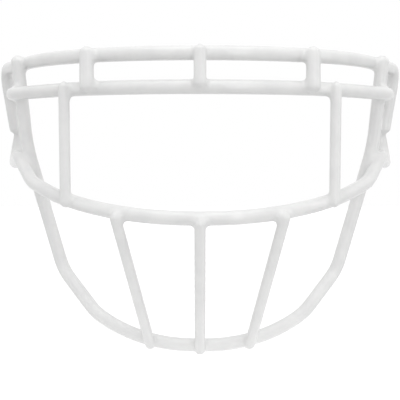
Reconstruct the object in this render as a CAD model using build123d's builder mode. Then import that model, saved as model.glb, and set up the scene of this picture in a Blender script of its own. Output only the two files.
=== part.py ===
from build123d import *
from math import radians, tan
import os

# Wire guard for the front of a football helmet: twelve bent steel wires, lapped and
# welded where they meet, under one white polymer coat.
# Origin: middle of the upper brow bar, on its centreline, where it rests on the helmet.
# X runs to the right as seen from the front, Y back towards the face, Z up. Millimetres.

# Wires and coat
main_wire = 6.0  # the four long bars and the two outer brow struts
centre_wire = 5.0  # the short strut in the middle of the brow
thin_wire = 4.5  # eye struts and chin struts
coat = 0.4  # thickness of the polymer on every wire
set_down = 0.8  # how far two crossing wires sink into each other in the weld

# The cage as a whole, along the centrelines of the wires
cage_width = 229.7  # between the rear legs, at the brow
brow_depth = 103.8  # from the middle of the brow bar back to the rear legs
brow_gap = 15.7  # upper brow bar down to the lower one
nose_drop = 77.2  # upper brow bar down to the middle of the nose bar
chin_drop = 147.6  # upper brow bar down to the middle of the chin bar
lower_brow_lead = 1.5  # how far the lower brow bar stands in front of the upper one
nose_lead = 2.0  # the same for the nose bar
chin_setback = 36.0  # how far the chin bar lies behind the brow bar

# Rear ends, where the side clips of the helmet hold the cage
rear_leg_drop = 37.2  # length of the brow bar's legs
rear_leg_lean = 5.9  # how far they lean in towards their feet
nose_rear_drop = 56.0  # upper brow bar down to the rear bends of the nose bar
nose_rear_inset = 3.8  # how far in from the rear legs those bends stand
up_leg_rise = 28.7  # length of the nose bar's legs, up behind the rear legs
up_leg_lean = 5.7  # how far they lean in towards their tops
brow_end_inset = 5.2  # where the lower brow bar ends, in from the middle of the rear leg

# Climb of the nose bar where it passes the chin bar's legs
nose_climb_foot = 19.7  # its length in front of the leg
nose_climb_head = 7.4  # its length behind the leg
nose_climb_shares = (0.546, 0.635)  # how far it goes out and up, of the way that it goes back

# Bends, measured on the centreline
brow_rear_bend = 9.3
lower_brow_bend = 25.0
nose_foot_bend = 26.0
nose_head_bend = 16.0
nose_rear_bend = 9.0
chin_corner_bend = 30.0
chin_cheek_bend = 22.0
chin_leg_bend = 60.0

# Struts: where they cross the bars, out from the middle, and how far their ends and the
# chin bar's legs run past
brow_strut_offset = 51.3
eye_strut_top_offset = 63.4
eye_strut_foot_offset = 63.3
chin_strut_top_offset = 38.6
chin_strut_foot_offset = 24.5
brow_strut_head = 2.8
centre_strut_foot = 1.2
brow_strut_foot = 2.2
eye_strut_head = 3.3
eye_strut_foot = 2.4
chin_strut_head = 2.6
chin_strut_foot = 1.6
chin_leg_head = 3.4
end_chamfer = 1.6  # broken edge on the cut ends of the wires

# Shares that place the bends of the bars
brow_corner_share = 0.548  # of half the width: where the upper bar's sides start from
lower_brow_corner_share = 0.403
nose_corner_share = 0.436
front_arc_share = 0.98  # how much of a bar's front is bent, the rest stays straight
chin_arc_share = 0.9
nose_cheek_share = 0.353  # of the chin drop: where the nose bar passes the chin bar's leg
chin_top_share = 0.804  # of half the width: where the chin bar's legs lap the brow bar
rear_lap_share = 0.75  # of a full lap: how far the nose bar's legs stand behind the others
# Across as a share of half the width, back from the chin bar to the rear legs, and down
chin_bend_shares = [
    (0.261, 0.0, 1.0),
    (0.489, 0.204, 0.902),
    (0.652, 0.365, 0.757),
    (0.823, 0.42, 0.301),
]

half_width = cage_width / 2
full_lap = main_wire - set_down


def front_radius(corner, side, arc_share):
    """Radius whose two arcs bend the front of a bar, from the middle to its straight sides."""
    turn = Vector(1, 0, 0).get_angle(Vector(side) - Vector(corner))
    return corner[0] * arc_share / tan(radians(turn / 2))


def bar_route(half_points, half_radii):
    """Centreline of a bar that is the same left and right, from the points of its right half."""
    left = [(-x, y, z) for x, y, z in reversed(half_points)]
    with BuildLine() as route:
        FilletPolyline(*left, *half_points, radius=[*reversed(half_radii), *half_radii])
    return route.wires()[0]


def crossing(route, axis, level, steps=400):
    """Place and direction where the right half of a route first reaches a level on an axis."""

    def over(share):
        return getattr(route.position_at(share), axis) - level

    low = 0.5 - 0.5 / steps
    high = 0.5
    while over(low) * over(high) > 0 and high < 1:
        low, high = high, high + 0.5 / steps
    for _ in range(30):
        middle = (low + high) / 2
        low, high = (low, middle) if over(low) * over(middle) <= 0 else (middle, high)
    return route.position_at(high), route.tangent_at(high)


def front_side(tangent, along):
    """Direction square to two crossing wires, towards the front of the cage."""
    square = tangent.cross(along).normalized()
    return square if square.Y < 0 else -square


def outside(route, level):
    """Point one lap outside the chin bar's leg at a height, for a bar that passes it there."""
    leg, up = crossing(route, "Z", level)
    brow_heading = crossing(brow_route, "X", leg.X)[1]
    return leg + front_side(brow_heading, up) * full_lap


# Upper brow bar: front arc, straight sides, rear bends, legs
brow_corner = (half_width * brow_corner_share, 0, 0)
brow_rear = (half_width, brow_depth, 0)
rear_foot = (half_width - rear_leg_lean, brow_depth, -rear_leg_drop)
brow_radii = [front_radius(brow_corner, brow_rear, front_arc_share), brow_rear_bend]
brow_route = bar_route([brow_corner, brow_rear, rear_foot], brow_radii)

# Chin bar: low front arc, then legs that rise across the outside of the brow bar
chin_bends = [
    (half_width * across, chin_setback + (brow_depth - chin_setback) * back, -chin_drop * down)
    for across, back, down in chin_bend_shares
]
brow_spot, brow_heading = crossing(brow_route, "X", half_width * chin_top_share)
leg_foot = Vector(chin_bends[-1])
leg_seat = brow_spot + front_side(brow_heading, brow_spot - leg_foot) * full_lap
chin_top = leg_seat + (leg_seat - leg_foot).normalized() * chin_leg_head
chin_radii = [
    front_radius(chin_bends[0], chin_bends[1], chin_arc_share),
    chin_corner_bend,
    chin_cheek_bend,
    chin_leg_bend,
]
chin_route = bar_route([*chin_bends, tuple(chin_top)], chin_radii)

# Lower brow bar: passes outside the chin bar's legs and ends against the rear legs
lower_corner = (half_width * lower_brow_corner_share, -lower_brow_lead, -brow_gap)
lower_side = outside(chin_route, -brow_gap)
rear_leg = crossing(brow_route, "Z", -brow_gap)[0]
lower_end = rear_leg - Vector(brow_end_inset, 0, 0)
lower_radii = [front_radius(lower_corner, lower_side, front_arc_share), lower_brow_bend]
lower_route = bar_route([lower_corner, tuple(lower_side), tuple(lower_end)], lower_radii)

# Nose bar: climbs past the outside of the chin bar's legs, runs level to its rear bends
# and turns up behind the rear legs
nose_corner = (half_width * nose_corner_share, -nose_lead, -nose_drop)
nose_cheek = outside(chin_route, -chin_drop * nose_cheek_share)
climb_out, climb_up = nose_climb_shares
climb = Vector(climb_out, 1, climb_up).normalized()
climb_foot = nose_cheek - climb * nose_climb_foot
climb_head = nose_cheek + climb * nose_climb_head
up_leg_back = brow_depth + full_lap * rear_lap_share
nose_rear = (half_width - nose_rear_inset, up_leg_back, -nose_rear_drop)
up_leg_top = (nose_rear[0] - up_leg_lean, up_leg_back, up_leg_rise - nose_rear_drop)
nose_radii = [
    front_radius(nose_corner, climb_foot, front_arc_share),
    nose_foot_bend,
    nose_head_bend,
    nose_rear_bend,
]
nose_bends = [nose_corner, tuple(climb_foot), tuple(climb_head), nose_rear]
nose_route = bar_route([*nose_bends, up_leg_top], nose_radii)


def strut(diameter, top, foot):
    """Two ends of a strut that laps two bars.

    Each end is a bar's route, how far out the strut crosses it, 1 for the front of the bar
    or -1 for its back, and how far the wire runs past.
    """
    lap = (main_wire + diameter) / 2 - set_down
    spots = [crossing(route, "X", offset) for route, offset, _, _ in (top, foot)]
    chord = spots[1][0] - spots[0][0]
    seats = [
        spot + front_side(tangent, chord) * side * lap
        for (spot, tangent), (_, _, side, _) in zip(spots, (top, foot))
    ]
    along = (seats[1] - seats[0]).normalized()
    return [seats[0] - along * top[3], seats[1] + along * foot[3]]


centre_brow_strut = strut(
    centre_wire,
    (brow_route, 0, 1, brow_strut_head),
    (lower_route, 0, 1, centre_strut_foot),
)
side_brow_strut = strut(
    main_wire,
    (brow_route, brow_strut_offset, 1, brow_strut_head),
    (lower_route, brow_strut_offset, 1, brow_strut_foot),
)
eye_strut = strut(
    thin_wire,
    (lower_route, eye_strut_top_offset, 1, eye_strut_head),
    (nose_route, eye_strut_foot_offset, 1, eye_strut_foot),
)
centre_chin_strut = strut(
    thin_wire,
    (nose_route, 0, 1, chin_strut_head),
    (chin_route, 0, 1, chin_strut_foot),
)
side_chin_strut = strut(
    thin_wire,
    (nose_route, chin_strut_top_offset, 1, chin_strut_head),
    (chin_route, chin_strut_foot_offset, 1, chin_strut_foot),
)


def straight(points, side=1):
    """Route of a straight wire between two points, or of its twin on the left at side -1."""
    with BuildLine() as route:
        Line([(side * point.X, point.Y, point.Z) for point in points])
    return route.wires()[0]


# Every wire by its name: route, diameter and the wires that it is seated on
brow_bars = ["top_brow_bar", "lower_brow_bar"]
eye_bars = ["lower_brow_bar", "nose_bar"]
chin_bars = ["nose_bar", "chin_bar"]
wires = {
    "top_brow_bar": (brow_route, main_wire, []),
    "chin_bar": (chin_route, main_wire, ["top_brow_bar"]),
    "lower_brow_bar": (lower_route, main_wire, ["top_brow_bar", "chin_bar"]),
    "nose_bar": (nose_route, main_wire, ["top_brow_bar", "chin_bar"]),
    "centre_brow_strut": (straight(centre_brow_strut), centre_wire, brow_bars),
    "right_brow_strut": (straight(side_brow_strut), main_wire, brow_bars),
    "left_brow_strut": (straight(side_brow_strut, -1), main_wire, brow_bars),
    "right_eye_strut": (straight(eye_strut), thin_wire, eye_bars),
    "left_eye_strut": (straight(eye_strut, -1), thin_wire, eye_bars),
    "centre_chin_strut": (straight(centre_chin_strut), thin_wire, chin_bars),
    "right_chin_strut": (straight(side_chin_strut), thin_wire, chin_bars),
    "left_chin_strut": (straight(side_chin_strut, -1), thin_wire, chin_bars),
}


def round_wire(route, diameter, layer=0):
    """Round wire along a route with chamfered ends, grown on every side by a layer."""
    start, finish = route.position_at(0), route.position_at(1)
    start_way, finish_way = route.tangent_at(0), route.tangent_at(1)
    with BuildLine() as centreline:
        add(route)
        if layer:
            Line(start - start_way * layer, start)
            Line(finish, finish + finish_way * layer)
    with BuildPart() as wire:
        with BuildSketch(Plane(start - start_way * layer, z_dir=start_way)):
            Circle(diameter / 2 + layer)
        sweep(path=centreline.wires()[0])
        chamfer(wire.faces().filter_by(GeomType.PLANE).edges(), end_chamfer + layer)
    return wire.part


os.makedirs("parts", exist_ok=True)

# Steel wires: each one is cut to seat on the wires that it laps or meets
steel = {}
for name, (route, diameter, seated_on) in wires.items():
    with BuildPart() as wire:
        add(round_wire(route, diameter))
        for other in seated_on:
            add(steel[other], mode=Mode.SUBTRACT)
    steel[name] = wire.part
    steel[name].label = name
    export_step(steel[name], f"parts/{name}.step")

# One skin of polymer over the whole welded cage
with BuildPart() as polymer_coat:
    for route, diameter, _ in wires.values():
        add(round_wire(route, diameter, coat))
    for metal in steel.values():
        add(metal, mode=Mode.SUBTRACT)
polymer_coat.part.label = "polymer_coat"
export_step(polymer_coat.part, "parts/polymer_coat.step")
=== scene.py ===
from math import radians

import bpy
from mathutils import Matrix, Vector


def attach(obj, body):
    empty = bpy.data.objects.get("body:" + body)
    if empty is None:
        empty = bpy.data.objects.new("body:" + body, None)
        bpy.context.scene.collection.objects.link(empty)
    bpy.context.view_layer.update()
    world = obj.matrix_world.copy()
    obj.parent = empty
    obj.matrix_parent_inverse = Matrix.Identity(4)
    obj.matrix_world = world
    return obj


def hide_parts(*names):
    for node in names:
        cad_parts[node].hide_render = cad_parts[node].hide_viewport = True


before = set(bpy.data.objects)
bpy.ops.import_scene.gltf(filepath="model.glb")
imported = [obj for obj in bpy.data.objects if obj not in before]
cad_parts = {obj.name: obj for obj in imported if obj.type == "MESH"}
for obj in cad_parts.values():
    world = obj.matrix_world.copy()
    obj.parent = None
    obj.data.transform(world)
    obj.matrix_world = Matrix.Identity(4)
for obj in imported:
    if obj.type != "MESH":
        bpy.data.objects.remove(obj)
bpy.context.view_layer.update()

# The twelve wires of the cage are drawn steel rod, cold bent and lapped in the welds.
# The coat hides them, and they keep the fine grey skin that drawing and welding leave.
millimetre = 0.001
steel_grey = (0.32, 0.32, 0.31, 1.0)
weld_tint = (0.22, 0.20, 0.18, 1.0)
steel_roughness = (0.32, 0.48)
# Patches and grains to the metre
tint_patches = 55
steel_grain = 2200
grain_detail = 4.0
grain_depth = 0.02 * millimetre
# Noise values where a range begins and ends, and where a change of colour does
range_ends = (0.3, 0.7)
colour_ends = (0.35, 0.65)


def new_material(name):
    """A node material, with its tree and its shader."""
    material = bpy.data.materials.new(name)
    material.use_nodes = True
    tree = material.node_tree
    return material, tree, tree.nodes["Principled BSDF"]


def noise(tree, scale, detail=2.0):
    """Noise of a number of grains to the metre, on the object's own coordinates."""
    place = tree.nodes.new("ShaderNodeTexCoord")
    node = tree.nodes.new("ShaderNodeTexNoise")
    node.inputs["Scale"].default_value = scale
    node.inputs["Detail"].default_value = detail
    tree.links.new(place.outputs["Object"], node.inputs["Vector"])
    return node


def spread(tree, source, limits):
    """Turns a noise into values between two limits."""
    node = tree.nodes.new("ShaderNodeMapRange")
    node.inputs["From Min"].default_value, node.inputs["From Max"].default_value = range_ends
    node.inputs["To Min"].default_value, node.inputs["To Max"].default_value = limits
    tree.links.new(source.outputs["Fac"], node.inputs["Value"])
    return node


def tinted(tree, source, first, second):
    """Mixes two colours by a noise."""
    node = tree.nodes.new("ShaderNodeValToRGB")
    for stop, position, colour in zip(node.color_ramp.elements, colour_ends, (first, second)):
        stop.position = position
        stop.color = colour
    tree.links.new(source.outputs["Fac"], node.inputs["Fac"])
    return node


def relief(tree, source, depth, below=None):
    """Raises a surface by a noise, over the relief that is given."""
    node = tree.nodes.new("ShaderNodeBump")
    node.inputs["Distance"].default_value = depth
    tree.links.new(source.outputs["Fac"], node.inputs["Height"])
    if below:
        tree.links.new(below.outputs["Normal"], node.inputs["Normal"])
    return node


drawn_steel, tree, shader = new_material("drawn_steel")
shader.inputs["Metallic"].default_value = 1.0
patches = noise(tree, tint_patches)
grain = noise(tree, steel_grain, grain_detail)
colours = tinted(tree, patches, steel_grey, weld_tint)
tree.links.new(colours.outputs["Color"], shader.inputs["Base Color"])
tree.links.new(spread(tree, grain, steel_roughness).outputs["Result"], shader.inputs["Roughness"])
tree.links.new(relief(tree, grain, grain_depth).outputs["Normal"], shader.inputs["Normal"])

for name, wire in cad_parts.items():
    if name != "polymer_coat":
        for seat in wire.material_slots:
            seat.material = drawn_steel

# The white polymer coat is one skin over the whole welded cage, dipped and cured on it.
# It rounds the cut ends and gathers in soft fillets where two wires lie on each other.
# It is satin with a weak clear gloss, and shows a fine peel and slow flow waves.
merge_distance = 0.002 * millimetre
fine_grid = 0.6 * millimetre
skin_grid = 0.84 * millimetre
# The skin swells by the fillet and is drawn back, less what the smoothing takes off
fillet = 0.75 * millimetre
smoothing_loss = 0.14 * millimetre
smoothing = {"factor": 0.5, "iterations": 2}
coat_white = (0.827, 0.827, 0.821, 1.0)
coat_shade = (0.788, 0.788, 0.786, 1.0)
coat_roughness = (0.28, 0.33)
coat_ior = 1.5
gloss_share = 0.45
gloss_roughness = 0.12
# Waves to the metre
flow_waves = 110
flow_depth = 0.08 * millimetre
peel_waves = 420
peel_depth = 0.02 * millimetre


def only(piece):
    """Selects one piece and nothing else."""
    bpy.ops.object.select_all(action="DESELECT")
    piece.select_set(True)
    bpy.context.view_layer.objects.active = piece


def shaped(piece, kind, **settings):
    """Adds a modifier with its settings and applies it."""
    only(piece)
    step = piece.modifiers.new(kind.lower(), kind)
    for setting, value in settings.items():
        setattr(step, setting, value)
    bpy.ops.object.modifier_apply(modifier=step.name)


def reach(piece):
    """Length of the diagonal of a piece's box."""
    return piece.dimensions.length


only(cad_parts["polymer_coat"])
bpy.ops.object.duplicate()
bpy.ops.object.mode_set(mode="EDIT")
bpy.ops.mesh.select_all(action="SELECT")
bpy.ops.mesh.remove_doubles(threshold=merge_distance)
bpy.ops.mesh.separate(type="LOOSE")
bpy.ops.object.mode_set(mode="OBJECT")
shells = sorted(bpy.context.selected_objects, key=reach)
skin = shells.pop()
skin.name = "polymer_skin"
for inner in shells:
    bpy.data.objects.remove(inner)

shaped(skin, "REMESH", mode="VOXEL", voxel_size=fine_grid)
shaped(skin, "DISPLACE", strength=fillet, mid_level=0.0)
shaped(skin, "REMESH", mode="VOXEL", voxel_size=skin_grid)
shaped(skin, "SMOOTH", **smoothing)
shaped(skin, "DISPLACE", strength=smoothing_loss - fillet, mid_level=0.0)
shaped(skin, "SMOOTH", **smoothing)
only(skin)
bpy.ops.object.shade_smooth()

white_polymer, tree, shader = new_material("white_polymer")
shader.inputs["IOR"].default_value = coat_ior
shader.inputs["Coat Weight"].default_value = gloss_share
shader.inputs["Coat Roughness"].default_value = gloss_roughness
flow = noise(tree, flow_waves)
peel = noise(tree, peel_waves)
colours = tinted(tree, flow, coat_white, coat_shade)
tree.links.new(colours.outputs["Color"], shader.inputs["Base Color"])
tree.links.new(spread(tree, peel, coat_roughness).outputs["Result"], shader.inputs["Roughness"])
flowed = relief(tree, flow, flow_depth)
peeled = relief(tree, peel, peel_depth, flowed)
tree.links.new(peeled.outputs["Normal"], shader.inputs["Normal"])
skin.data.materials.clear()
skin.data.materials.append(white_polymer)
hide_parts("polymer_coat")
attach(skin, "root")

# The cage is shown where a helmet would hold it, over a plain white studio floor. Soft boxes
# hang over it, tall strips of light stand before it and at its sides, and a card close under
# the chin throws light up to it.
floor_size = 12
floor_drop = 0.62
floor_paint = (0.45, 0.45, 0.45, 1.0)
floor_roughness = 0.8
# Glow that only the eye sees, so that the floor looks white and throws less light upwards
floor_glow = 0.74
glow_white = (1.0, 1.0, 1.0, 1.0)
# Strength of the room's light on the cage, and of the white that the eye sees round it
room_light = 0.717
room_white = 1.0
lit_spot = Vector((0, 0.04, -0.07))
# Place, width, height and watts of each light
soft_boxes = {
    "top_box": ((0, 0.06, 0.66), 0.60, 0.60, 0.39),
    "high_box": ((0, -0.25, 0.62), 0.55, 0.55, 1.09),
    "left_front_strip": ((-0.24, -0.60, 0), 0.10, 0.90, 0.31),
    "right_front_strip": ((0.24, -0.60, 0), 0.10, 0.90, 0.77),
    "left_strip": ((-0.60, -0.15, 0), 0.15, 0.90, 0.47),
    "right_strip": ((0.60, -0.15, 0), 0.15, 0.90, 0.59),
    "chin_card": ((0, 0.02, -0.21), 0.34, 0.24, 0.109),
}


def seen_by_eye(tree):
    """1 for the camera's rays and for what shows in reflections and through glass, else 0."""
    rays = tree.nodes.new("ShaderNodeLightPath")
    shown = rays.outputs["Is Camera Ray"]
    for kind in ("Is Glossy Ray", "Is Transmission Ray"):
        either = tree.nodes.new("ShaderNodeMath")
        either.operation = "MAXIMUM"
        tree.links.new(shown, either.inputs[0])
        tree.links.new(rays.outputs[kind], either.inputs[1])
        shown = either.outputs[0]
    return shown


bpy.ops.object.select_all(action="DESELECT")
bpy.ops.mesh.primitive_plane_add(size=floor_size, location=(0, 0, -floor_drop))
floor = bpy.context.active_object
floor.name = "studio_floor"
studio_white, tree, shader = new_material("studio_white")
shader.inputs["Base Color"].default_value = floor_paint
shader.inputs["Roughness"].default_value = floor_roughness
shader.inputs["Emission Color"].default_value = glow_white
glow = tree.nodes.new("ShaderNodeMath")
glow.operation = "MULTIPLY"
glow.inputs[1].default_value = floor_glow
tree.links.new(seen_by_eye(tree), glow.inputs[0])
tree.links.new(glow.outputs[0], shader.inputs["Emission Strength"])
floor.data.materials.append(studio_white)

world = bpy.data.worlds.new("soft_room")
bpy.context.scene.world = world
world.use_nodes = True
tree = world.node_tree
ambient = tree.nodes["Background"]
ambient.inputs["Color"].default_value = glow_white
level = tree.nodes.new("ShaderNodeMapRange")
level.inputs["To Min"].default_value = room_light
level.inputs["To Max"].default_value = room_white
tree.links.new(seen_by_eye(tree), level.inputs["Value"])
tree.links.new(level.outputs["Result"], ambient.inputs["Strength"])

for name, (place, width, height, watts) in soft_boxes.items():
    bpy.ops.object.light_add(type="AREA", location=place)
    box = bpy.context.active_object
    box.name = name
    box.rotation_euler = (lit_spot - Vector(place)).to_track_quat("-Z", "Y").to_euler()
    box.data.shape = "RECTANGLE"
    box.data.size = width
    box.data.size_y = height
    box.data.energy = watts
    box.visible_camera = False

# The camera stands where the photographer's did: level with the eye opening, a little
# above the middle of the cage, looking slightly down.
camera_distance = 0.390
camera_height = -0.0364
look_down = 4.725
focal_pixels = 830
image_pixels = 400
sensor_width = 36
nearest_seen = 0.01

bpy.ops.object.camera_add(location=(0, -camera_distance, camera_height))
camera = bpy.context.active_object
camera.rotation_euler = (radians(90 - look_down), 0, 0)
camera.data.sensor_width = sensor_width
camera.data.lens = focal_pixels / image_pixels * sensor_width
camera.data.clip_start = nearest_seen
bpy.context.scene.camera = camera
bpy.context.scene.view_settings.view_transform = "Standard"
